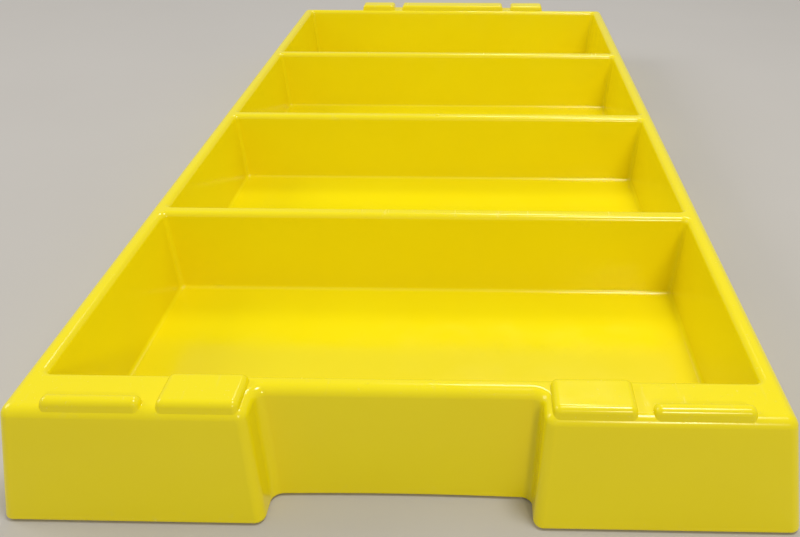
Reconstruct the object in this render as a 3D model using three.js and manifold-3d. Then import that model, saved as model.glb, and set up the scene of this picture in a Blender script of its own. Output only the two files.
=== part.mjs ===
// Spill containment pallet: a twin-sheet polyethylene tray with four cells in a row.
// The upper shell forms the rim, the cells, the dividers and the end lugs. The base sheet
// closes it underneath. Each cell drains through a threaded fitting in the side wall, which
// stands back in a bay so that nothing sticks out of the tray.
// Millimetres, +Z up. +Y runs from the recessed end to the lugged end. The origin is on the
// ground under the middle of the tray.
import * as THREE from 'three';
import { mergeVertices } from 'three/addons/utils/BufferGeometryUtils.js';
import Module from 'manifold-3d';

const wasm = await Module();
wasm.setup();

// The tray, measured where the rim's top plane meets the outer faces
const RIM_WIDTH = 632;
const RIM_LENGTH = 1251;
const RIM_HEIGHT = 110;
const WALL = 17; // across the top of the rim and of each divider
const SKIN = 5; // thickness of the moulded sheet
const OUTER_DRAFT = 0.12; // sideways run of the end faces for each millimetre of height
const LONG_SIDE_SPREAD = 1.25; // the draft of the long sides, as a share of OUTER_DRAFT
const OUTER_EDGE = 8.5; // radius along the rim's outer edge
const FOOT_EDGE = 4; // radius along the skirt's lower edge
const CORNER = 9; // plan radius of the outer corners

// The recess in the front end and the lug on the rear end
const RECESS_DEPTH = 30;
const RECESS_HALF_WIDTH = 118;
const RECESS_CORNER = 9;
const RECESS_SIDE_SPREAD = 0.5; // as a share of OUTER_DRAFT
const RECESS_WALL_SPREAD = 0.85;
const REAR_LUG_DEPTH = 26;
const REAR_LUG_HALF_WIDTH = 190;
const REAR_LUG_CORNER = 9;
const REAR_LUG_ROOT = 8; // plan radius where the lug leaves the end wall

// The cells
const CELL_COUNT = 4;
const CELL_PITCH = 302;
const CELL_DEPTH = 95.4;
const CELL_DRAFT = 0.104;
const CELL_EDGE = 6;
const CELL_CORNER = 6;
const FLOOR_FILLET = 4;

// The raised pads on the lugs
const FRONT_PAD = { height: 7, edge: 5 };
const REAR_PAD = { height: 10, edge: 4 };
const PAD_CORNER = 5.4;
const PAD_DRAFT = 0.15;
const PAD_ROOT = 9; // how far a pad runs down into the lug
const PAD_SETBACK = 3; // from the lug's end face
const SQUARE_PAD = { from: 125, to: 190, depth: 38 };
const SLIM_PAD = { from: 204, to: 283, depth: 11 };
const LONG_PAD_HALF_WIDTH = 106;
const REAR_PAD_DEPTH = 32;

// The base sheet and its tack-offs, the cones that hold it to the cell floors
const GAP = 0.3; // between pieces that touch
const BASE_SHEET = 5;
const BASE_SHEET_END_X = 283; // it stops short of the bays in the wall with the drains
const TACK_ROWS = [-180, 0, 180];
const TACK_OFFSET = 70; // from the middle of the cell
const TACK_FOOT = 16;
const TACK_HEAD = 12;
const TACK_SKIN = 4;

// The drains, one for each cell, in the side wall at +X
const DRAIN_FROM_WALL = 36; // along Y, from the cell's near wall
const DRAIN_HEIGHT = 35;
const SEAT_X = 288.5; // flat face inside the cell
const WEB = 10; // where the two skins meet
const SEAT_RADIUS = 19;
const BAY_HALF_WIDTH = 32;
const BAY_TOP = 62;
const BAY_CORNER = 16;
const BAY_DRAFT = 0.16;
const BARREL_RADIUS = 13;
const BORE_RADIUS = 10.3;
const FLANGE = { radius: 18.5, thickness: 5 };
const GASKET = { radius: 18, thickness: 2 };
const NUT = { acrossCorners: 36, thickness: 8 };
const BARREL_END = 1.2; // past the nut
const SEAL = { radius: 13.5, thickness: 2 };
const PLUG = { shank: 10, engaged: 9, collar: 13.5, collarThickness: 3 };
const PLUG_HEX = { acrossCorners: 19, height: 8.8 };

const ARC_STEPS = 3;
const ROUND_SEGMENTS = 24;

const FLARE = OUTER_DRAFT * RIM_HEIGHT;
const OVERALL_LENGTH = RIM_LENGTH + REAR_LUG_DEPTH + 2 * FLARE;
const FRONT_Y = FLARE - OVERALL_LENGTH / 2;
const REAR_Y = FRONT_Y + RIM_LENGTH;
const FLOOR_Z = RIM_HEIGHT - CELL_DEPTH;
const BAY_X = SEAT_X + WEB;

// Solids

function solid(geometry) {
  geometry.deleteAttribute('normal');
  geometry.deleteAttribute('uv');
  const merged = mergeVertices(geometry, 1e-4);
  const vertProperties = Float32Array.from(merged.attributes.position.array);
  const triVerts = Uint32Array.from(merged.index.array);
  return new wasm.Manifold(new wasm.Mesh({ numProp: 3, vertProperties, triVerts }));
}

function geometryOf(manifold) {
  const { vertProperties, triVerts } = manifold.getMesh();
  const geometry = new THREE.BufferGeometry();
  geometry.setAttribute('position', new THREE.BufferAttribute(vertProperties, 3));
  geometry.setIndex(new THREE.BufferAttribute(triVerts, 1));
  geometry.computeVertexNormals();
  return geometry;
}

function rectangle(x0, y0, x1, y1, radius) {
  return [
    [x0, y0, radius],
    [x1, y0, radius],
    [x1, y1, radius],
    [x0, y1, radius],
  ];
}

// The outline through right-angled corners [x, y, radius], listed anticlockwise. It is grown by
// draft, which keeps the corner radii, and by offset, which keeps the corner centres. A corner
// may also give the shares of the draft that its faces across X and across Y take.
function section(corners, draft, offset) {
  return corners.flatMap(([x, y, radius, spreadX = 1, spreadY = 1], i) => {
    const corner = new THREE.Vector2(x, y);
    const [toBefore, toAfter] = [corners.at(i - 1), corners[(i + 1) % corners.length]].map(
      ([otherX, otherY]) => new THREE.Vector2(otherX, otherY).sub(corner).normalize(),
    );
    const inwards = toBefore.clone().add(toAfter);
    const convex = toAfter.cross(toBefore) > 0 ? 1 : -1;
    const reach = radius + convex * offset;
    corner.x += inwards.x * (reach - convex * (draft * spreadX + offset));
    corner.y += inwards.y * (reach - convex * (draft * spreadY + offset));
    return Array.from({ length: ARC_STEPS + 1 }, (_, step) => {
      const angle = (step / ARC_STEPS) * (Math.PI / 2);
      const point = corner.clone().addScaledVector(toAfter, -reach * Math.cos(angle));
      return point.addScaledVector(toBefore, -reach * Math.sin(angle));
    });
  });
}

// A solid with the outline's section at every level [z, draft, offset], from the bottom up.
function moulded(corners, levels) {
  const steps = levels.length - 1;
  const outline = section(corners, 0, 0);
  const shape = new THREE.Shape(outline);
  const geometry = new THREE.ExtrudeGeometry(shape, { depth: steps, steps, bevelEnabled: false });
  const sections = levels.map(([, draft, offset]) => section(corners, draft, offset));
  const { position } = geometry.attributes;
  const here = new THREE.Vector2();
  for (let i = 0; i < position.count; i++) {
    here.set(position.getX(i), position.getY(i));
    const level = Math.round(position.getZ(i));
    const distances = outline.map((point) => point.distanceToSquared(here));
    const { x, y } = sections[level][distances.indexOf(Math.min(...distances))];
    position.setXYZ(i, x, y, levels[level][0]);
  }
  return solid(geometry);
}

// Levels, from the bottom up, of a quarter round between a drafted side face and a flat face
// at flatZ. The side face is above the flat when rise is 1 and below it when rise is -1. The
// section narrows towards the flat when turn is -1 and widens when turn is 1.
function quarterRound(draftAt, flatZ, radius, rise, turn) {
  const levels = Array.from({ length: ARC_STEPS + 1 }, (_, step) => {
    const angle = (step / ARC_STEPS) * (Math.PI / 2);
    const z = flatZ + rise * radius * (1 - Math.cos(angle));
    return [z, draftAt(z), turn * radius * (1 - Math.sin(angle))];
  });
  return rise > 0 ? levels : levels.reverse();
}

const outerDraft = (z) => OUTER_DRAFT * (RIM_HEIGHT - z);
const cellDraft = (z) => -CELL_DRAFT * (RIM_HEIGHT - z);

// The corners of the tray's outline at the rim
function trayCorners() {
  const halfWidth = RIM_WIDTH / 2;
  const recessY = FRONT_Y + RECESS_DEPTH;
  const lugY = REAR_Y + REAR_LUG_DEPTH;
  return [
    [-halfWidth, FRONT_Y, CORNER, LONG_SIDE_SPREAD],
    [-RECESS_HALF_WIDTH, FRONT_Y, CORNER, RECESS_SIDE_SPREAD],
    [-RECESS_HALF_WIDTH, recessY, RECESS_CORNER, RECESS_SIDE_SPREAD, RECESS_WALL_SPREAD],
    [RECESS_HALF_WIDTH, recessY, RECESS_CORNER, RECESS_SIDE_SPREAD, RECESS_WALL_SPREAD],
    [RECESS_HALF_WIDTH, FRONT_Y, CORNER, RECESS_SIDE_SPREAD],
    [halfWidth, FRONT_Y, CORNER, LONG_SIDE_SPREAD],
    [halfWidth, REAR_Y, CORNER, LONG_SIDE_SPREAD],
    [REAR_LUG_HALF_WIDTH, REAR_Y, REAR_LUG_ROOT],
    [REAR_LUG_HALF_WIDTH, lugY, REAR_LUG_CORNER],
    [-REAR_LUG_HALF_WIDTH, lugY, REAR_LUG_CORNER],
    [-REAR_LUG_HALF_WIDTH, REAR_Y, REAR_LUG_ROOT],
    [-halfWidth, REAR_Y, CORNER, LONG_SIDE_SPREAD],
  ];
}

// Where each cell starts and ends along Y, at the rim
function cellSpans() {
  return Array.from({ length: CELL_COUNT }, (_, i) => {
    const end = REAR_Y - WALL - (CELL_COUNT - 1 - i) * CELL_PITCH;
    const start = i === 0 ? FRONT_Y + RECESS_DEPTH + WALL : end - CELL_PITCH + WALL;
    return { start, end, drainY: start + DRAIN_FROM_WALL };
  });
}

const CELLS = cellSpans();

function cellCorners({ start, end }) {
  const halfWidth = RIM_WIDTH / 2 - WALL;
  return rectangle(-halfWidth, start, halfWidth, end, CELL_CORNER);
}

function cellSpace(cell) {
  const bottom = quarterRound(cellDraft, FLOOR_Z, FLOOR_FILLET, 1, -1);
  const top = quarterRound(cellDraft, RIM_HEIGHT, CELL_EDGE, -1, 1);
  return moulded(cellCorners(cell), [...bottom, ...top, [RIM_HEIGHT + 1, 0, CELL_EDGE]]);
}

// The cell with its skin, which the hollow of the shell keeps clear of
function cellBody(cell) {
  const bottom = FLOOR_Z - SKIN;
  return moulded(cellCorners(cell), [
    [bottom, cellDraft(bottom), SKIN - FLOOR_FILLET],
    [bottom + FLOOR_FILLET, cellDraft(bottom + FLOOR_FILLET), SKIN],
    [RIM_HEIGHT, 0, SKIN],
  ]);
}

function pad({ height, edge }, x0, y0, x1, y1) {
  const top = RIM_HEIGHT + height;
  const root = RIM_HEIGHT - PAD_ROOT;
  const draft = (z) => PAD_DRAFT * (top - z);
  const corners = rectangle(x0, y0, x1, y1, PAD_CORNER);
  return moulded(corners, [[root, draft(root), 0], ...quarterRound(draft, top, edge, -1, -1)]);
}

function padPair(shape, { from, to }, y0, y1) {
  return [pad(shape, from, y0, to, y1), pad(shape, -to, y0, -from, y1)];
}

function pads() {
  const frontY = FRONT_Y + PAD_SETBACK;
  const rearY = REAR_Y + REAR_LUG_DEPTH - PAD_SETBACK;
  return [
    ...padPair(FRONT_PAD, SQUARE_PAD, frontY, frontY + SQUARE_PAD.depth),
    ...padPair(FRONT_PAD, SLIM_PAD, frontY, frontY + SLIM_PAD.depth),
    ...padPair(REAR_PAD, SQUARE_PAD, rearY - REAR_PAD_DEPTH, rearY),
    pad(REAR_PAD, -LONG_PAD_HALF_WIDTH, rearY - REAR_PAD_DEPTH, LONG_PAD_HALF_WIDTH, rearY),
  ];
}

// Turns a shape made in X and Y and raised along Z so that it lies across the side wall: its X
// runs along the tray's Y, its Y runs up, and its Z runs out along the tray's X.
function acrossWall(manifold, y) {
  const turn = new THREE.Matrix4().makeBasis(
    new THREE.Vector3(0, 1, 0),
    new THREE.Vector3(0, 0, 1),
    new THREE.Vector3(1, 0, 0),
  );
  return manifold.transform(turn.setPosition(0, y, 0).elements);
}

// The bay in the skirt in front of a drain, open at the ground, with grown walls when asked.
function bay(drainY, fromX, grown) {
  const corners = rectangle(-BAY_HALF_WIDTH, -2 * BAY_CORNER, BAY_HALF_WIDTH, BAY_TOP, BAY_CORNER);
  const levels = [fromX, RIM_WIDTH / 2 + 2 * FLARE].map((x) => [x, BAY_DRAFT * (x - BAY_X), grown]);
  return acrossWall(moulded(corners, levels), drainY);
}

// A cylinder or, with six segments, a hexagon with a flat underneath, on the drain's axis
// between two places along X.
function round(drainY, fromX, toX, radius, segments = ROUND_SEGMENTS) {
  const halfSide = Math.PI / segments;
  const geometry = new THREE.CylinderGeometry(radius, radius, toX - fromX, segments, 1, false, halfSide);
  geometry.rotateZ(-Math.PI / 2);
  geometry.translate((fromX + toX) / 2, drainY, DRAIN_HEIGHT);
  return solid(geometry);
}

function upperShell() {
  const corners = trayCorners();
  const foot = quarterRound(outerDraft, 0, FOOT_EDGE, 1, -1);
  const rim = quarterRound(outerDraft, RIM_HEIGHT, OUTER_EDGE, -1, -1);
  let body = moulded(corners, [...foot, ...rim]);
  const hollowHeights = [-1, RIM_HEIGHT - SKIN];
  let hollow = moulded(corners, hollowHeights.map((z) => [z, outerDraft(z), -SKIN]));
  for (const raised of pads()) {
    body = body.add(raised);
  }
  for (const cell of CELLS) {
    body = body.subtract(cellSpace(cell));
    hollow = hollow.subtract(cellBody(cell));
  }
  for (const { drainY } of CELLS) {
    hollow = hollow.subtract(bay(drainY, SEAT_X + 1, SKIN));
    body = body.add(round(drainY, SEAT_X, BAY_X, SEAT_RADIUS)).subtract(bay(drainY, BAY_X, 0));
  }
  body = body.subtract(hollow);
  for (const { drainY } of CELLS) {
    body = body.subtract(round(drainY, SEAT_X - SKIN, BAY_X + SKIN, BARREL_RADIUS + GAP));
  }
  return body;
}

// An upright cone frustum between two heights
function frustum(x, y, fromZ, toZ, footRadius, headRadius) {
  const geometry = new THREE.CylinderGeometry(headRadius, footRadius, toZ - fromZ, ROUND_SEGMENTS / 2);
  geometry.rotateX(Math.PI / 2);
  geometry.translate(x, y, (fromZ + toZ) / 2);
  return solid(geometry);
}

function baseSheet() {
  const heights = [0, BASE_SHEET];
  let sheet = moulded(trayCorners(), heights.map((z) => [z, outerDraft(z), -SKIN - GAP]));
  const beyond = rectangle(BASE_SHEET_END_X, -OVERALL_LENGTH, RIM_WIDTH, OVERALL_LENGTH, CORNER);
  sheet = sheet.subtract(moulded(beyond, [[-1, 0, 0], [BASE_SHEET + 1, 0, 0]]));
  const top = FLOOR_Z - SKIN - GAP;
  for (const { start, end } of CELLS) {
    for (const x of TACK_ROWS) {
      for (const offset of [-TACK_OFFSET, TACK_OFFSET]) {
        const y = (start + end) / 2 + offset;
        sheet = sheet.add(frustum(x, y, 1, top, TACK_FOOT, TACK_HEAD));
        sheet = sheet.subtract(frustum(x, y, -1, top - SKIN, TACK_FOOT - TACK_SKIN, TACK_HEAD - TACK_SKIN));
      }
    }
  }
  return sheet;
}

// The pieces of one drain, from inside the cell to outside. Each one starts GAP from the last.
function drainPieces(drainY) {
  const nutX = SEAT_X - GAP - NUT.thickness;
  const barrelX = nutX - BARREL_END;
  const gasketX = BAY_X + GAP;
  const flangeX = gasketX + GASKET.thickness + GAP;
  const sealX = flangeX + FLANGE.thickness + GAP;
  const collarX = sealX + SEAL.thickness + GAP;
  const hexX = collarX + PLUG.collarThickness;
  const shankX = flangeX + FLANGE.thickness - PLUG.engaged;

  const ring = (fromX, toX, radius, hole, segments) =>
    round(drainY, fromX, toX, radius, segments).subtract(round(drainY, fromX - 1, toX + 1, hole));

  const fitting = round(drainY, flangeX, flangeX + FLANGE.thickness, FLANGE.radius)
    .add(round(drainY, barrelX, flangeX + 1, BARREL_RADIUS))
    .subtract(round(drainY, barrelX - 1, sealX + 1, BORE_RADIUS));
  const plug = round(drainY, collarX, hexX, PLUG.collar)
    .add(round(drainY, shankX, collarX + 1, PLUG.shank))
    .add(round(drainY, hexX - 1, hexX + PLUG_HEX.height, PLUG_HEX.acrossCorners / 2, 6));
  return {
    drain_locknut: ring(nutX, nutX + NUT.thickness, NUT.acrossCorners / 2, BARREL_RADIUS + GAP, 6),
    drain_gasket: ring(gasketX, gasketX + GASKET.thickness, GASKET.radius, BARREL_RADIUS + GAP),
    drain_fitting: fitting,
    plug_seal: ring(sealX, sealX + SEAL.thickness, SEAL.radius, PLUG.shank + GAP),
    drain_plug: plug,
  };
}

// Materials
const yellowPlastic = new THREE.MeshStandardMaterial({ color: '#f2dc14', roughness: 0.3, metalness: 0 });
const basePlastic = new THREE.MeshStandardMaterial({ color: '#e0c912', roughness: 0.45, metalness: 0 });
const blackPlastic = new THREE.MeshStandardMaterial({ color: '#1d1d1f', roughness: 0.4, metalness: 0 });
const rubber = new THREE.MeshStandardMaterial({ color: '#2b2b2b', roughness: 0.8, metalness: 0 });
const DRAIN_MATERIALS = {
  drain_locknut: blackPlastic,
  drain_gasket: rubber,
  drain_fitting: blackPlastic,
  plug_seal: rubber,
  drain_plug: blackPlastic,
};

// The assembly
const pallet = new THREE.Group();

function addPiece(parent, name, manifold, material) {
  const mesh = new THREE.Mesh(geometryOf(manifold), material);
  mesh.name = name;
  parent.add(mesh);
}

addPiece(pallet, 'upper_shell', upperShell(), yellowPlastic);
addPiece(pallet, 'base_sheet', baseSheet(), basePlastic);

CELLS.forEach(({ drainY }, i) => {
  const drain = new THREE.Group();
  drain.position.y = drainY;
  for (const [name, manifold] of Object.entries(drainPieces(0))) {
    addPiece(drain, `${name}_${i + 1}`, manifold, DRAIN_MATERIALS[name]);
  }
  pallet.add(drain);
});

export default pallet;
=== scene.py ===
# Spill containment pallet: the finished look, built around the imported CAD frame.
# Metres, +Z up. +Y runs from the recessed end to the lugged end of the tray.
import math

import bmesh
import bpy
from mathutils import Matrix, Vector


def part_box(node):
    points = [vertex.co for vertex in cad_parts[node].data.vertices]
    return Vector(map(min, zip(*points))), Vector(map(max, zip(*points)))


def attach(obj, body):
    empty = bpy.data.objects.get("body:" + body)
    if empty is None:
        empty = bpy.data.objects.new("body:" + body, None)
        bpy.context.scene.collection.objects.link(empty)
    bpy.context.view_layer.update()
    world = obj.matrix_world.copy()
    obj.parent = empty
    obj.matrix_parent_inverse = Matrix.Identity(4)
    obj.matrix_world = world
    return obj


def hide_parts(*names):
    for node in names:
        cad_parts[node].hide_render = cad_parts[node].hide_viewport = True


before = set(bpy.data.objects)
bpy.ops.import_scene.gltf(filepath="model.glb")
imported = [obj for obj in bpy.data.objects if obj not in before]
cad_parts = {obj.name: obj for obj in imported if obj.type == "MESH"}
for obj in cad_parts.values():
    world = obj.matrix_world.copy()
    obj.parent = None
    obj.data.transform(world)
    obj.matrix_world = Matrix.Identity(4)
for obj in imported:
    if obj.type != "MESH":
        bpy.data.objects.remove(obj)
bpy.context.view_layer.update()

MM = 0.001

# The tray, measured where the rim's top plane meets the outer faces
RIM_HEIGHT = 110 * MM
SKIN = 5 * MM
WALL = 17 * MM
HALF_WIDTH = 316 * MM
RIM_LENGTH = 1251 * MM
OUTER_DRAFT = 0.12  # sideways run of the end faces for each unit of height
LONG_SIDE_SPREAD = 1.25  # the draft of the long sides, as a share of OUTER_DRAFT
OUTER_EDGE = 8.5 * MM
FOOT_EDGE = 4 * MM
CORNER = 9 * MM
RECESS_DEPTH = 30 * MM
RECESS_HALF_WIDTH = 118 * MM
RECESS_CORNER = 9 * MM
RECESS_SIDE_SPREAD = 0.5
RECESS_WALL_SPREAD = 0.85
RECESS_BOW = 2.2 * MM  # how far the wall of the recess bows back at its foot
LUG_DEPTH = 26 * MM
LUG_HALF_WIDTH = 190 * MM
LUG_CORNER = 9 * MM
LUG_ROOT = 8 * MM
FRONT_Y = -(RIM_LENGTH + LUG_DEPTH) / 2
REAR_Y = FRONT_Y + RIM_LENGTH

# The cells
CELL_COUNT = 4
CELL_PITCH = 302 * MM
FLOOR_Z = 14.6 * MM
CELL_DRAFT = 0.104
CELL_EDGE = 6 * MM
CELL_CORNER = 6 * MM
FLOOR_FILLET = 4 * MM

# The pads
FRONT_PAD = (117 * MM, 5 * MM)  # height of the top, and radius along its edge
REAR_PAD = (120 * MM, 4 * MM)
PAD_ROOT = 101 * MM
PAD_CORNER = 5.4 * MM
PAD_DRAFT = 0.15
PAD_SETBACK = 3 * MM
SQUARE_PAD = (125 * MM, 190 * MM, 38 * MM)
SLIM_PAD = (204 * MM, 283 * MM, 11 * MM)
LONG_PAD_HALF_WIDTH = 106 * MM
REAR_PAD_DEPTH = 32 * MM

# The drains
SEAT_X = 288.5 * MM
BAY_X = 298.5 * MM
SEAT_RADIUS = 19 * MM
BAY_HALF_WIDTH = 32 * MM
BAY_TOP = 62 * MM
BAY_CORNER = 16 * MM
BAY_DRAFT = 0.16
BAY_EDGE = 3 * MM
BARREL_RADIUS = 13 * MM
BORE_RADIUS = 10.3 * MM  # where the thread inside the fitting is narrowest
THREAD_PITCH = 1.814 * MM
THREAD_DEPTH = 0.8 * MM
FLANGE = 5 * MM  # thickness
FLANGE_NOTCHES = 12
NUT_ACROSS_CORNERS = 36 * MM
PLUG_SHANK = 10 * MM  # radius
PLUG_COLLAR = 13.5 * MM  # radius
PLUG_COLLAR_THICKNESS = 3 * MM
PLUG_HEX = 19 * MM  # across corners
PLUG_SOCKET = 9 * MM  # across corners
PLUG_SOCKET_DEPTH = 5 * MM
GAP = 0.3 * MM

# The base sheet and its tack-off cones
BASE_SHEET = 5 * MM
BASE_SHEET_END_X = 283 * MM
TACK_ROWS = (-180 * MM, 0, 180 * MM)
TACK_OFFSET = 70 * MM
TACK_FOOT = 16 * MM
TACK_HEAD = 12 * MM
TACK_SKIN = 4 * MM

ARC_STEPS = 8
SPACING = 28 * MM  # between the points along a straight edge


# Outlines and lofts

def rectangle(x0, y0, x1, y1, radius):
    return [(x0, y0, radius), (x1, y0, radius), (x1, y1, radius), (x0, y1, radius)]


def section(corners, draft, offset, steps=ARC_STEPS, spacing=SPACING):
    """The anticlockwise outline through right-angled corners (x, y, radius), grown by draft,
    which keeps the corner radii, and by offset, which keeps the corner centres. A corner may
    also give the shares of the draft that its faces across X and across Y take."""
    arcs = []
    count = len(corners)
    for i, (x, y, radius, *spread) in enumerate(corners):
        corner = Vector((x, y))
        spread_x, spread_y = (*spread, 1, 1)[:2]
        before = (Vector(corners[i - 1][:2]) - corner).normalized()
        after = (Vector(corners[(i + 1) % count][:2]) - corner).normalized()
        convex = 1 if after.x * before.y - after.y * before.x > 0 else -1
        reach = radius + convex * offset
        inwards = before + after
        centre = corner + Vector((
            inwards.x * (reach - convex * (draft * spread_x + offset)),
            inwards.y * (reach - convex * (draft * spread_y + offset)),
        ))
        turns = [math.pi / 2 * step / steps for step in range(steps + 1)]
        from_after, from_before = after * reach, before * reach
        arcs.append([
            centre - from_after * math.cos(a) - from_before * math.sin(a) for a in turns
        ])
    points = []
    for i, arc in enumerate(arcs):
        following = arcs[(i + 1) % count]
        gap = (Vector(corners[i][:2]) - Vector(corners[(i + 1) % count][:2])).length
        pieces = max(1, round(gap / spacing))
        points += arc
        points += [arc[-1].lerp(following[0], k / pieces) for k in range(1, pieces)]
    return points


def quarter_round(draft_at, flat_z, radius, rise, turn, steps=ARC_STEPS):
    """Levels, from the bottom up, of a quarter round between a drafted side and a flat."""
    levels = []
    for step in range(steps + 1):
        angle = math.pi / 2 * step / steps
        z = flat_z + rise * radius * (1 - math.cos(angle))
        levels.append((z, draft_at(z), turn * radius * (1 - math.sin(angle))))
    return levels if rise > 0 else levels[::-1]


def between(draft_at, low, high, count):
    """Levels of a plain drafted side between two levels, without either of them."""
    heights = [low[0] + (high[0] - low[0]) * k / (count + 1) for k in range(1, count + 1)]
    return [(z, draft_at(z), 0.0) for z in heights]


def loft(corners, levels, **kind):
    """A closed mesh with the outline's section at every level, from the bottom up."""
    rings = [section(corners, draft, offset, **kind) for _, draft, offset in levels]
    verts = [(p.x, p.y, level[0]) for ring, level in zip(rings, levels) for p in ring]
    n = len(rings[0])
    faces = [tuple(reversed(range(n))), tuple(range((len(levels) - 1) * n, len(levels) * n))]
    for k in range(len(levels) - 1):
        for i in range(n):
            j = (i + 1) % n
            faces.append((k * n + i, k * n + j, (k + 1) * n + j, (k + 1) * n + i))
    mesh = bpy.data.meshes.new("loft")
    mesh.from_pydata(verts, [], faces)
    return mesh


def turned(profiles):
    """A closed mesh round X. Each step round the axis has its own profile of (x, radius)
    points, which closes on itself."""
    steps, n = len(profiles), len(profiles[0])
    verts = []
    for s, profile in enumerate(profiles):
        angle = 2 * math.pi * s / steps
        verts += [(x, r * math.cos(angle), r * math.sin(angle)) for x, r in profile]
    faces = []
    for s in range(steps):
        t = (s + 1) % steps
        for i in range(n):
            j = (i + 1) % n
            faces.append((s * n + i, s * n + j, t * n + j, t * n + i))
    mesh = bpy.data.meshes.new("turned")
    mesh.from_pydata(verts, [], faces)
    bm = bmesh.new()
    bm.from_mesh(mesh)
    bmesh.ops.remove_doubles(bm, verts=bm.verts, dist=1e-7)
    bmesh.ops.recalc_face_normals(bm, faces=bm.faces)
    bm.to_mesh(mesh)
    bm.free()
    return mesh


def lathe(profile, segments=48):
    return turned([profile] * segments)


def upright(mesh, x, y, z):
    """Stands a mesh turned about X on the Z axis, and moves it to its place."""
    mesh.transform(Matrix.Rotation(-math.pi / 2, 4, "Y"))
    mesh.transform(Matrix.Translation((x, y, z)))
    return mesh


def cylinder(x0, x1, radius, y, z, segments=48):
    mesh = lathe([(x0, 0.0), (x0, radius), (x1, radius), (x1, 0.0)], segments)
    mesh.transform(Matrix.Translation((0, y, z)))
    return mesh


def joined(meshes):
    bm = bmesh.new()
    for mesh in meshes:
        bm.from_mesh(mesh)
        bpy.data.meshes.remove(mesh)
    out = bpy.data.meshes.new("joined")
    bm.to_mesh(out)
    bm.free()
    return out


def evaluated(obj):
    """The mesh that obj's modifiers make, and obj is removed."""
    depsgraph = bpy.context.evaluated_depsgraph_get()
    mesh = bpy.data.meshes.new_from_object(obj.evaluated_get(depsgraph), depsgraph=depsgraph)
    bpy.data.objects.remove(obj)
    return mesh


def temporary(mesh):
    obj = bpy.data.objects.new("temporary", mesh)
    bpy.context.scene.collection.objects.link(obj)
    return obj


def combined(mesh, operation, other):
    """mesh with other added or cut away."""
    obj, tool = temporary(mesh), temporary(other)
    modifier = obj.modifiers.new("cut", "BOOLEAN")
    modifier.operation = operation
    modifier.solver = "MANIFOLD"
    modifier.object = tool
    result = evaluated(obj)
    bpy.data.objects.remove(tool)
    return result


def smoothed(mesh, angle=32):
    """Smooth shading apart from edges sharper than angle, with large faces kept flat."""
    mesh.shade_smooth()
    mesh.set_sharp_from_angle(angle=math.radians(angle))
    obj = temporary(mesh)
    weighted = obj.modifiers.new("weighted", "WEIGHTED_NORMAL")
    weighted.keep_sharp = True
    weighted.weight = 80
    return evaluated(obj)


def place(name, mesh, material, slot, body, *nodes):
    mesh.name = name
    mesh.materials.clear()
    mesh.materials.append(material)
    obj = bpy.data.objects.new(name, mesh)
    bpy.context.scene.collection.objects.link(obj)
    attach(obj, body)
    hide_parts(*nodes)
    return obj


# The shell

def outer_draft(z):
    return OUTER_DRAFT * (RIM_HEIGHT - z)


def cell_draft(z):
    return -CELL_DRAFT * (RIM_HEIGHT - z)


def tray_corners():
    recess_y = FRONT_Y + RECESS_DEPTH
    lug_y = REAR_Y + LUG_DEPTH
    return [
        (-HALF_WIDTH, FRONT_Y, CORNER, LONG_SIDE_SPREAD),
        (-RECESS_HALF_WIDTH, FRONT_Y, CORNER, RECESS_SIDE_SPREAD),
        (-RECESS_HALF_WIDTH, recess_y, RECESS_CORNER, RECESS_SIDE_SPREAD, RECESS_WALL_SPREAD),
        (RECESS_HALF_WIDTH, recess_y, RECESS_CORNER, RECESS_SIDE_SPREAD, RECESS_WALL_SPREAD),
        (RECESS_HALF_WIDTH, FRONT_Y, CORNER, RECESS_SIDE_SPREAD),
        (HALF_WIDTH, FRONT_Y, CORNER, LONG_SIDE_SPREAD),
        (HALF_WIDTH, REAR_Y, CORNER, LONG_SIDE_SPREAD),
        (LUG_HALF_WIDTH, REAR_Y, LUG_ROOT),
        (LUG_HALF_WIDTH, lug_y, LUG_CORNER),
        (-LUG_HALF_WIDTH, lug_y, LUG_CORNER),
        (-LUG_HALF_WIDTH, REAR_Y, LUG_ROOT),
        (-HALF_WIDTH, REAR_Y, CORNER, LONG_SIDE_SPREAD),
    ]


def cell_spans():
    """Where each cell starts and ends along Y, at the rim."""
    spans = []
    for i in range(CELL_COUNT):
        end = REAR_Y - WALL - (CELL_COUNT - 1 - i) * CELL_PITCH
        start = FRONT_Y + RECESS_DEPTH + WALL if i == 0 else end - CELL_PITCH + WALL
        spans.append((start, end))
    return spans


CELLS = cell_spans()


def middle(node, axis):
    low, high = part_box(node)
    return (low[axis] + high[axis]) / 2


DRAINS = [middle(f"drain_fitting_{i + 1}", 1) for i in range(CELL_COUNT)]
DRAIN_Z = middle("drain_fitting_1", 2)


def cell_corners(span):
    half = HALF_WIDTH - WALL
    return rectangle(-half, span[0], half, span[1], CELL_CORNER)


def cell_space(span):
    bottom = quarter_round(cell_draft, FLOOR_Z, FLOOR_FILLET, 1, -1)
    top = quarter_round(cell_draft, RIM_HEIGHT, CELL_EDGE, -1, 1)
    side = between(cell_draft, bottom[-1], top[0], 5)
    return loft(cell_corners(span), [*bottom, *side, *top, (RIM_HEIGHT + 5 * MM, 0, CELL_EDGE)])


def cell_body(span):
    bottom = FLOOR_Z - SKIN
    shoulder = bottom + FLOOR_FILLET
    levels = [
        (bottom, cell_draft(bottom), SKIN - FLOOR_FILLET),
        (shoulder, cell_draft(shoulder), SKIN),
        (RIM_HEIGHT, 0, SKIN),
    ]
    return loft(cell_corners(span), levels, steps=3)


def pad(shape, x0, y0, x1, y1):
    top, edge = shape
    def draft(z):
        return PAD_DRAFT * (top - z)
    levels = [(PAD_ROOT, draft(PAD_ROOT), 0), *quarter_round(draft, top, edge, -1, -1, steps=6)]
    return loft(rectangle(x0, y0, x1, y1, PAD_CORNER), levels, steps=6)


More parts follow.
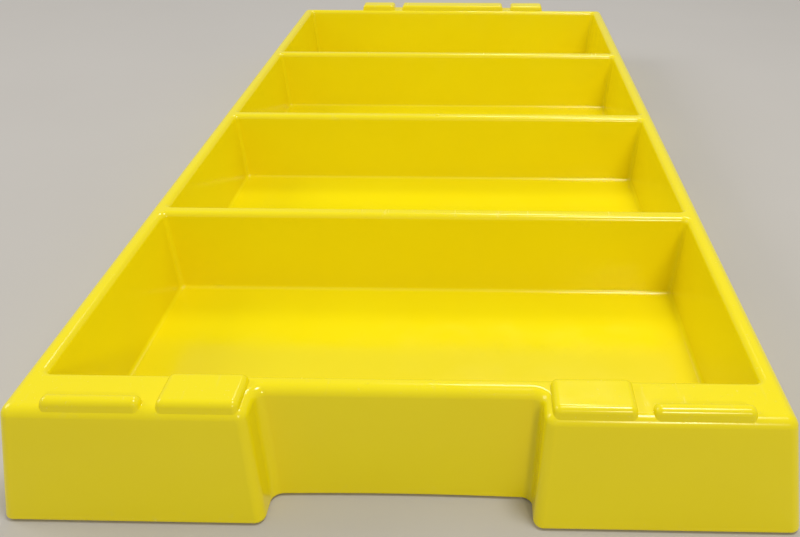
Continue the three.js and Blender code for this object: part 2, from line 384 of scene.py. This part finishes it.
def pads():
    front_y = FRONT_Y + PAD_SETBACK
    rear_y = REAR_Y + LUG_DEPTH - PAD_SETBACK
    made = [pad(REAR_PAD, -LONG_PAD_HALF_WIDTH, rear_y - REAR_PAD_DEPTH, LONG_PAD_HALF_WIDTH, rear_y)]
    for x0, x1, depth in (SQUARE_PAD, SLIM_PAD):
        made.append(pad(FRONT_PAD, x0, front_y, x1, front_y + depth))
        made.append(pad(FRONT_PAD, -x1, front_y, -x0, front_y + depth))
    x0, x1, _ = SQUARE_PAD
    made.append(pad(REAR_PAD, x0, rear_y - REAR_PAD_DEPTH, x1, rear_y))
    made.append(pad(REAR_PAD, -x1, rear_y - REAR_PAD_DEPTH, -x0, rear_y))
    return joined(made)


def side_x(z):
    """Where the long side's outer face is at a height."""
    return HALF_WIDTH + LONG_SIDE_SPREAD * outer_draft(z)


def bay_outline():
    return rectangle(-BAY_HALF_WIDTH, -2 * BAY_CORNER, BAY_HALF_WIDTH, BAY_TOP, BAY_CORNER)


def across_wall(mesh, y):
    """Turns a mesh made in X and Y and raised along Z so that it lies across the side wall."""
    mesh.transform(Matrix(((0, 0, 1, 0), (1, 0, 0, y), (0, 1, 0, 0), (0, 0, 0, 1))))
    return mesh


def bay_draft(x):
    return BAY_DRAFT * (x - BAY_X)


def bay(drain_y):
    """The bay in the skirt in front of a drain, with round edges, as a solid to cut away."""
    mouth = side_x(DRAIN_Z)
    back = quarter_round(bay_draft, BAY_X, BAY_EDGE, 1, -1, steps=5)
    front = quarter_round(bay_draft, mouth, BAY_EDGE, -1, 1, steps=5)
    beyond = (mouth + 20 * MM, bay_draft(mouth), BAY_EDGE)
    mesh = across_wall(loft(bay_outline(), [*back, *front, beyond], spacing=10 * MM), drain_y)
    slope = LONG_SIDE_SPREAD * OUTER_DRAFT
    for vertex in mesh.vertices:
        share = min(1, (vertex.co.x - BAY_X) / (mouth - BAY_X))
        vertex.co.x += share * slope * (DRAIN_Z - vertex.co.z)
    return mesh


def bay_body(drain_y):
    """The bay with its skin, which the hollow of the shell keeps clear of."""
    levels = [(x, bay_draft(x), SKIN) for x in (SEAT_X + 1 * MM, HALF_WIDTH + 30 * MM)]
    return across_wall(loft(bay_outline(), levels, steps=4, spacing=10 * MM), drain_y)


def seat(drain_y):
    """The flat face inside the cell that the locknut pulls against, with a round edge."""
    edge = 1.5 * MM
    arc = [math.pi / 2 * step / 4 for step in range(5)]
    rim = [
        (SEAT_X + edge * (1 - math.sin(a)), SEAT_RADIUS - edge * (1 - math.cos(a)))
        for a in arc[::-1]
    ]
    mesh = lathe([(SEAT_X, 0.0), *rim, (BAY_X, SEAT_RADIUS), (BAY_X, 0.0)])
    mesh.transform(Matrix.Translation((0, drain_y, DRAIN_Z)))
    return mesh


def nub():
    """The small moulded gate mark on top of the middle divider."""
    y = (CELLS[1][1] + CELLS[2][0]) / 2
    dome = [
        (-2 * MM, 4 * MM), (0.3 * MM, 3.7 * MM), (0.9 * MM, 2.6 * MM), (1.2 * MM, 1.2 * MM),
        (1.3 * MM, 0),
    ]
    return upright(lathe([(-2 * MM, 0.0), *dome], 24), 0, y, RIM_HEIGHT)


def bow_recess(mesh):
    """Bows the recess wall back, most in the middle of its foot."""
    behind = FRONT_Y + RECESS_DEPTH + 1 * MM
    for vertex in mesh.vertices:
        x, y, z = vertex.co
        if abs(x) < RECESS_HALF_WIDTH and y < behind:
            across = 1 - (x / RECESS_HALF_WIDTH) ** 2
            vertex.co.y += RECESS_BOW * across * (1 - z / RIM_HEIGHT)


def tray_shell():
    corners = tray_corners()
    foot = quarter_round(outer_draft, 0, FOOT_EDGE, 1, -1, steps=5)
    rim = quarter_round(outer_draft, RIM_HEIGHT, OUTER_EDGE, -1, -1)
    body = loft(corners, [*foot, *between(outer_draft, foot[-1], rim[0], 4), *rim])
    bow_recess(body)
    body = combined(body, "UNION", pads())
    body = combined(body, "DIFFERENCE", joined([cell_space(span) for span in CELLS]))
    heights = (-1 * MM, RIM_HEIGHT - SKIN)
    hollow = loft(corners, [(z, outer_draft(z), -SKIN) for z in heights], steps=3)
    hollow = combined(hollow, "DIFFERENCE", joined([cell_body(span) for span in CELLS]))
    hollow = combined(hollow, "DIFFERENCE", joined([bay_body(y) for y in DRAINS]))
    body = combined(body, "UNION", joined([*(seat(y) for y in DRAINS), nub()]))
    body = combined(body, "DIFFERENCE", joined([bay(y) for y in DRAINS]))
    body = combined(body, "DIFFERENCE", hollow)
    reach = SEAT_X - SKIN, BAY_X + SKIN
    bores = joined([cylinder(*reach, BARREL_RADIUS + GAP, y, DRAIN_Z) for y in DRAINS])
    return combined(body, "DIFFERENCE", bores)


# The base sheet

def tack(x, y, raised):
    """One tack-off cone as a solid, or with raised false, the dimple that hollows it."""
    top = FLOOR_Z - SKIN - GAP
    if raised:
        profile = [
            (1 * MM, 0.0), (1 * MM, TACK_FOOT), (top - 0.8 * MM, TACK_HEAD),
            (top, TACK_HEAD - 1 * MM), (top, 0.0),
        ]
    else:
        foot, head = TACK_FOOT - TACK_SKIN, TACK_HEAD - TACK_SKIN
        mouth = [(-1 * MM, foot + 2.2 * MM), (0.0, foot + 1.6 * MM), (0.5 * MM, foot + 0.5 * MM)]
        end = top - SKIN
        rounded = [(end - 0.9 * MM, head), (end, head - 1.2 * MM), (end, 0.0)]
        profile = [(-1 * MM, 0.0), *mouth, *rounded]
    return upright(lathe(profile, 40), x, y, 0)


def base_sheet():
    edge = 1.2 * MM
    inset = -SKIN - GAP
    rounded = quarter_round(outer_draft, 0, edge, 1, -1, steps=4)
    foot = [(z, draft, offset + inset) for z, draft, offset in rounded]
    sheet = loft(tray_corners(), [*foot, (BASE_SHEET, outer_draft(BASE_SHEET), inset)], steps=4)
    reach = 2 * RIM_LENGTH
    beyond = rectangle(BASE_SHEET_END_X, -reach, 2 * HALF_WIDTH, reach, CORNER)
    heights = (-1 * MM, BASE_SHEET + 1 * MM)
    sheet = combined(sheet, "DIFFERENCE", loft(beyond, [(z, 0, 0) for z in heights]))
    middles = [(start + end) / 2 for start, end in CELLS]
    places = [(x, y + side * TACK_OFFSET) for y in middles for x in TACK_ROWS for side in (-1, 1)]
    sheet = combined(sheet, "UNION", joined([tack(x, y, True) for x, y in places]))
    return combined(sheet, "DIFFERENCE", joined([tack(x, y, False) for x, y in places]))


# The drains. Their pieces are made on the X axis, and moved to each drain.

def piece_span(name):
    """From where to where along X a piece of the first drain runs."""
    low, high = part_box(f"{name}_1")
    return low[0], high[0]


def half_height(name):
    low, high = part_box(f"{name}_1")
    return (high[2] - low[2]) / 2


def threaded(ends, x0, x1, crest, outwards, segments=64):
    """A turned mesh with a right-handed thread between x0 and x1, whose groove runs outwards
    from the crest radius (1) or inwards (-1). The (x, radius) points in ends close it."""
    steps = math.ceil((x1 - x0) / THREAD_PITCH * 8)

    def thread(turn):
        points = []
        for k in range(steps + 1):
            x = x0 + (x1 - x0) * k / steps
            fade = max(0, min(1, (x - x0) / THREAD_PITCH, (x1 - x) / THREAD_PITCH))
            wave = 0.5 - 0.5 * math.cos(2 * math.pi * ((x - x0) / THREAD_PITCH - turn))
            points.append((x, crest + outwards * THREAD_DEPTH * wave * fade))
        return points

    return turned([[*thread(s / segments), *ends] for s in range(segments)])


def hexagon(x0, x1, across_corners, chamfer):
    """A hexagonal bar on the X axis with turned chamfers on both ends."""
    radius = across_corners / 2
    crest = radius + 0.01 * MM  # the turned shape stands just proud of the bar's corners
    bar = cylinder(x0, x1, radius, 0, 0, 6)
    bar.transform(Matrix.Rotation(math.pi / 6, 4, "X"))
    end = radius - 2 * chamfer
    chamfered = lathe([
        (x0, 0.0), (x0, end), (x0 + chamfer, crest), (x1 - chamfer, crest), (x1, end), (x1, 0.0),
    ])
    return combined(bar, "INTERSECT", chamfered)


def ring(x0, x1, radius, hole, edge):
    """A flat ring with softened edges."""
    return lathe([
        (x0, hole + edge), (x0, radius - edge), (x0 + edge / 2, radius), (x1 - edge / 2, radius),
        (x1, radius - edge), (x1, hole + edge), (x1 - edge / 2, hole), (x0 + edge / 2, hole),
    ], 64)


def locknut():
    x0, x1 = piece_span("drain_locknut")
    nut = hexagon(x0, x1, NUT_ACROSS_CORNERS, 1 * MM)
    hole = BARREL_RADIUS + GAP
    bore = lathe([
        (x0 - 1 * MM, 0.0), (x0 - 1 * MM, hole + 2 * MM), (x0 + 1 * MM, hole),
        (x1 - 1 * MM, hole), (x1 + 1 * MM, hole + 2 * MM), (x1 + 1 * MM, 0.0),
    ])
    return combined(nut, "DIFFERENCE", bore)


def gasket():
    hole = BARREL_RADIUS + GAP
    return ring(*piece_span("drain_gasket"), half_height("drain_gasket"), hole, 0.6 * MM)


def plug_seal():
    hole = PLUG_SHANK + GAP
    return ring(*piece_span("plug_seal"), half_height("plug_seal"), hole, 0.7 * MM)


def fitting():
    x0, x1 = piece_span("drain_fitting")
    radius = half_height("drain_fitting")
    flange = x1 - FLANGE
    ends = [
        (x1, BORE_RADIUS + 0.6 * MM), (x1, radius - 1.2 * MM), (x1 - 1.2 * MM, radius),
        (flange + 0.6 * MM, radius), (flange, radius - 0.6 * MM), (flange, BARREL_RADIUS),
        (x0 + 0.8 * MM, BARREL_RADIUS), (x0, BARREL_RADIUS - 0.8 * MM), (x0, BORE_RADIUS + 0.3 * MM),
    ]
    body = threaded(ends, x0 + 0.4 * MM, x1 - 0.6 * MM, BORE_RADIUS, 1)
    reach = radius + 0.7 * MM
    cuts = []
    for k in range(FLANGE_NOTCHES):
        angle = 2 * math.pi * (k + 0.5) / FLANGE_NOTCHES
        y, z = reach * math.cos(angle), reach * math.sin(angle)
        cuts.append(cylinder(flange - 1 * MM, x1 + 1 * MM, 1.6 * MM, y, z, 16))
    return combined(body, "DIFFERENCE", joined(cuts))


def plug():
    x0, x1 = piece_span("drain_plug")
    seal_end = piece_span("plug_seal")[1]
    collar = seal_end + GAP
    face = collar + PLUG_COLLAR_THICKNESS
    ends = [
        (seal_end, PLUG_SHANK), (collar, PLUG_SHANK), (collar, PLUG_COLLAR - 0.5 * MM),
        (collar + 0.5 * MM, PLUG_COLLAR), (face - 0.8 * MM, PLUG_COLLAR),
        (face, PLUG_COLLAR - 0.8 * MM), (face, 0.0), (x0, 0.0), (x0, PLUG_SHANK - 1.6 * MM),
    ]
    body = threaded(ends, x0 + 0.6 * MM, piece_span("drain_fitting")[1], PLUG_SHANK, -1)
    head = hexagon(face - 0.5 * MM, x1, PLUG_HEX, 0.6 * MM)
    depth = PLUG_SOCKET_DEPTH
    socket = hexagon(x1 - depth, x1 + depth, PLUG_SOCKET, 0.1 * MM)
    return combined(body, "UNION", combined(head, "DIFFERENCE", socket))


# Materials

class Nodes:
    """A material's node tree, with one call for each node."""

    def __init__(self, name):
        self.material = bpy.data.materials.new(name)
        self.material.use_nodes = True
        self.tree = self.material.node_tree
        self.shader = self.tree.nodes["Principled BSDF"]
        self.place = self.add("ShaderNodeTexCoord").outputs["Object"]

    def add(self, kind, inputs=None, **settings):
        node = self.tree.nodes.new(kind)
        for key, value in settings.items():
            setattr(node, key, value)
        for key, value in (inputs or {}).items():
            self.feed(node.inputs[key], value)
        return node

    def feed(self, socket, value):
        if isinstance(value, bpy.types.NodeSocket):
            self.tree.links.new(value, socket)
        else:
            socket.default_value = value

    def noise(self, scale, detail=2.0, roughness=0.5, stretch=(1, 1, 1)):
        mapping = self.add("ShaderNodeMapping", {"Vector": self.place, "Scale": stretch})
        where = mapping.outputs["Vector"]
        inputs = {"Vector": where, "Scale": scale, "Detail": detail, "Roughness": roughness}
        return self.add("ShaderNodeTexNoise", inputs).outputs["Fac"]

    def spread(self, value, low, high, out_low=0.0, out_high=1.0):
        """value, with the range from low to high spread over the one from out_low to out_high."""
        inputs = {"Value": value, "From Min": low, "From Max": high}
        inputs |= {"To Min": out_low, "To Max": out_high}
        return self.add("ShaderNodeMapRange", inputs, clamp=True).outputs["Result"]

    def compute(self, operation, a, b):
        return self.add("ShaderNodeMath", {0: a, 1: b}, operation=operation).outputs["Value"]

    def mix(self, share, a, b):
        node = self.add("ShaderNodeMix", data_type="RGBA")
        self.feed(node.inputs["Factor"], share)
        for socket, value in zip([i for i in node.inputs if i.type == "RGBA"], (a, b)):
            self.feed(socket, value)
        return next(o for o in node.outputs if o.type == "RGBA")

    def bump(self, height, depth, normal=None):
        inputs = {"Height": height, "Distance": depth, "Strength": 1.0}
        if normal:
            inputs["Normal"] = normal
        return self.add("ShaderNodeBump", inputs).outputs["Normal"]

    def finish(self, color, roughness, specular, normal):
        self.feed(self.shader.inputs["Base Color"], color)
        self.feed(self.shader.inputs["Roughness"], roughness)
        self.shader.inputs["Specular IOR Level"].default_value = specular
        self.feed(self.shader.inputs["Normal"], normal)
        return self.material


def moulded_plastic(name, color, deep, rough, specular, waves, grain):
    """Moulded polyethylene: mottled colour, a slightly wavy skin with a fine grain, and scuffs
    on the upper edges and on the foot, where such a tray is knocked and dragged."""
    n = Nodes(name)
    mottle = n.spread(n.noise(9.0, 3.0), 0.35, 0.65)
    cloud = n.spread(n.noise(2.2, 2.0), 0.3, 0.7)
    tone = n.mix(n.compute("MULTIPLY", mottle, 0.5), (*color, 1), (*deep, 1))
    tone = n.mix(n.compute("MULTIPLY", cloud, 0.35), tone, (*deep, 1))
    height = n.add("ShaderNodeSeparateXYZ", {"Vector": n.place}).outputs["Z"]
    top = n.spread(height, 0.1, RIM_HEIGHT)
    foot = n.spread(height, 0.014, 0.001)
    exposed = n.compute("MAXIMUM", n.compute("MULTIPLY", top, 0.8), foot)
    scratch = n.spread(n.noise(70.0, 4.0, 0.7, (1, 0.12, 1)), 0.6, 0.72)
    speck = n.spread(n.noise(420.0, 2.0, 0.6), 0.66, 0.74)
    scuff = n.compute("MULTIPLY", n.compute("MAXIMUM", scratch, speck), exposed)
    worn = tuple(channel * 0.82 + 0.09 for channel in color)
    tone = n.mix(n.compute("MULTIPLY", scuff, 0.4), tone, (*worn, 1))
    gloss = n.spread(n.noise(26.0, 4.0, 0.6), 0.3, 0.7, rough - 0.05, rough + 0.06)
    roughness = n.compute("ADD", gloss, n.compute("MULTIPLY", scuff, 0.2))
    wavy = n.bump(n.noise(11.0, 1.0), waves)
    peel = n.bump(n.noise(grain, 2.0, 0.6), 0.02 * MM, wavy)
    scratched = n.bump(n.compute("SUBTRACT", 1.0, scuff), 0.1 * MM, peel)
    return n.finish(tone, roughness, specular, scratched)


def fitting_plastic(name, color, rough):
    """Glass-filled black polypropylene: fine matt grain, with grey rubbed places."""
    n = Nodes(name)
    rub = n.spread(n.noise(160.0, 4.0, 0.7), 0.56, 0.72)
    tone = n.mix(n.compute("MULTIPLY", rub, 0.35), (*color, 1), (0.075, 0.075, 0.078, 1))
    roughness = n.spread(n.noise(300.0, 3.0), 0.3, 0.7, rough - 0.08, rough + 0.1)
    return n.finish(tone, roughness, 0.45, n.bump(n.noise(1400.0, 3.0, 0.7), 0.05 * MM))


def seal_rubber(name):
    """Black rubber with a little dust on it."""
    n = Nodes(name)
    dust = n.spread(n.noise(120.0, 5.0, 0.75), 0.5, 0.75)
    black, dusty = (0.016, 0.016, 0.017, 1), (0.07, 0.066, 0.06, 1)
    tone = n.mix(n.compute("MULTIPLY", dust, 0.3), black, dusty)
    roughness = n.spread(n.noise(240.0, 2.0), 0.3, 0.7, 0.68, 0.88)
    return n.finish(tone, roughness, 0.3, n.bump(n.noise(900.0, 4.0, 0.8), 0.12 * MM))


YELLOW = moulded_plastic(
    "shell_plastic", color=(0.89, 0.75, 0.004), deep=(0.87, 0.715, 0.003),
    rough=0.17, specular=0.4, waves=0.3 * MM, grain=620.0,
)
BASE_YELLOW = moulded_plastic(
    "base_plastic", color=(0.80, 0.64, 0.014), deep=(0.74, 0.58, 0.012),
    rough=0.42, specular=0.3, waves=0.6 * MM, grain=450.0,
)
BLACK = fitting_plastic("drain_plastic", (0.018, 0.018, 0.019), 0.42)
PLUG_BLACK = fitting_plastic("plug_plastic", (0.024, 0.024, 0.026), 0.34)
RUBBER = seal_rubber("seal_rubber")

place("tray_shell", smoothed(tray_shell()), YELLOW, "shell_plastic", "tray", "upper_shell")
place(
    "tray_base_sheet", smoothed(base_sheet()), BASE_YELLOW, "base_plastic", "tray", "base_sheet",
)

# Each drain piece: what makes it, its material and slot, and the body that it rides on
DRAIN_PIECES = {
    "drain_locknut": (locknut, BLACK, "drain_plastic", "tray"),
    "drain_gasket": (gasket, RUBBER, "seal_rubber", "tray"),
    "drain_fitting": (fitting, BLACK, "drain_plastic", "tray"),
    "plug_seal": (plug_seal, RUBBER, "seal_rubber", "seal_{}"),
    "drain_plug": (plug, PLUG_BLACK, "plug_plastic", "plug_{}"),
}

for node, (make, material, slot, body) in DRAIN_PIECES.items():
    mesh = smoothed(make())
    for i, drain_y in enumerate(DRAINS):
        copy = mesh.copy()
        copy.transform(Matrix.Translation((0, drain_y, DRAIN_Z)))
        name = f"{node}_{i + 1}"
        place(f"{name}_look", copy, material, slot, body.format(i + 1), name)


# Stage, lights and camera

def floor():
    mesh = bpy.data.meshes.new("floor")
    half, z = 8.0, -0.6 * MM
    corners = [(-half, -half, z), (half, -half, z), (half, half, z), (-half, half, z)]
    mesh.from_pydata(corners, [], [(0, 1, 2, 3)])
    n = Nodes("floor")
    tone = n.mix(n.noise(3.0, 3.0), (0.50, 0.475, 0.44, 1), (0.525, 0.50, 0.465, 1))
    n.feed(n.shader.inputs["Base Color"], tone)
    n.shader.inputs["Roughness"].default_value = 0.85
    n.shader.inputs["Specular IOR Level"].default_value = 0.2
    mesh.materials.append(n.material)
    obj = bpy.data.objects.new("floor", mesh)
    bpy.context.scene.collection.objects.link(obj)


def area_light(name, at, size, power, target=(0, 0, 0), color=(1, 1, 1)):
    light = bpy.data.lights.new(name, "AREA")
    light.shape = "RECTANGLE"
    light.size, light.size_y = size
    light.energy = power
    light.color = color
    obj = bpy.data.objects.new(name, light)
    obj.location = at
    obj.rotation_euler = (Vector(target) - Vector(at)).to_track_quat("-Z", "Y").to_euler()
    bpy.context.scene.collection.objects.link(obj)


floor()
area_light("overhead", at=(0.8, -0.75, 3.0), size=(0.6, 0.6), power=34)
area_light("key", at=(0.35, 2.25, 3.7), size=(0.9, 0.9), power=38)
area_light(
    "front", at=(0.9, -3.2, 1.6), size=(0.4, 0.25), power=19,
    target=(0, 0, 0.1), color=(1.0, 0.92, 0.8),
)
area_light("left", at=(-3.2, 0.3, 2.2), size=(1.6, 1.6), power=34)

world = bpy.data.worlds.new("world")
world.use_nodes = True
world.node_tree.nodes["Background"].inputs["Color"].default_value = (1, 1, 1, 1)
world.node_tree.nodes["Background"].inputs["Strength"].default_value = 0.43
bpy.context.scene.world = world
bpy.context.scene.view_settings.view_transform = "Standard"

CAMERA_TILT = 0.4763  # radians below the horizon
CAMERA_TURN = 0.0216  # radians to the left of +Y

camera = bpy.data.cameras.new("camera")
camera.sensor_width = 36
camera.lens = 36.675
camera.shift_x = -0.0821
camera.shift_y = -0.0889
camera_object = bpy.data.objects.new("camera", camera)
camera_object.location = (0.066, -1.1252, 0.5538)
camera_object.rotation_euler = (math.pi / 2 - CAMERA_TILT, 0, CAMERA_TURN)
bpy.context.scene.collection.objects.link(camera_object)
bpy.context.scene.camera = camera_object
